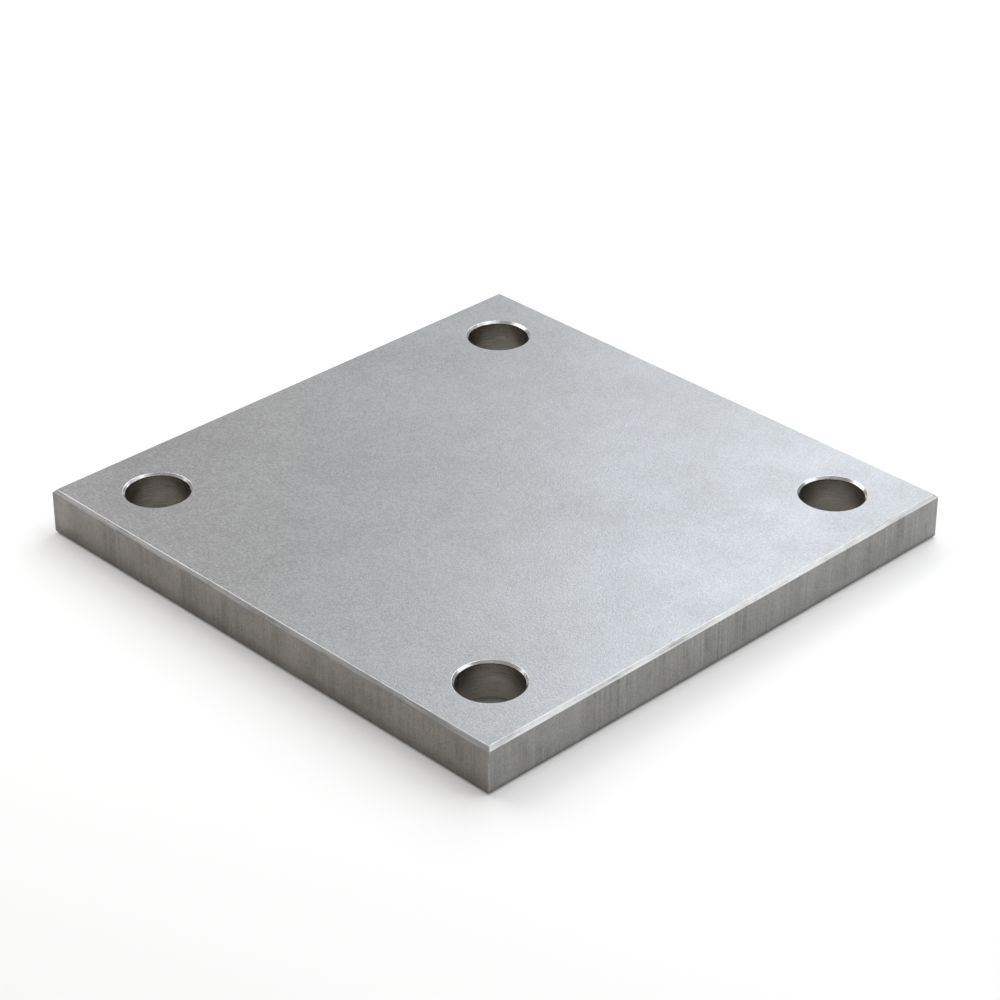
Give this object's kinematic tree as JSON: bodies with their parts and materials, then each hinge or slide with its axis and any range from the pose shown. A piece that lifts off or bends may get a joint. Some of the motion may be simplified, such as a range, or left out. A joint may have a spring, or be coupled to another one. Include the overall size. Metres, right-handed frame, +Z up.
{
  "type": "foundation template plate",
  "caption": "Thick square flat steel plate with chamfered edges and a bolt hole near each corner, for setting out and holding anchor bolts.",
  "frame": {"origin": "centre of the underside", "axes": "+Z up, square to the plate; +X and +Y along its sides"},
  "size_m": [0.25, 0.25, 0.02],
  "materials": {
    "plate_steel": "bare steel: top and underside evenly ground with a fine matt grain, sides sawn, edges and upper hole mouths chamfered bright"
  },
  "bodies": {
    "root": {"template_plate": "plate_steel"}
  },
  "joints": []
}
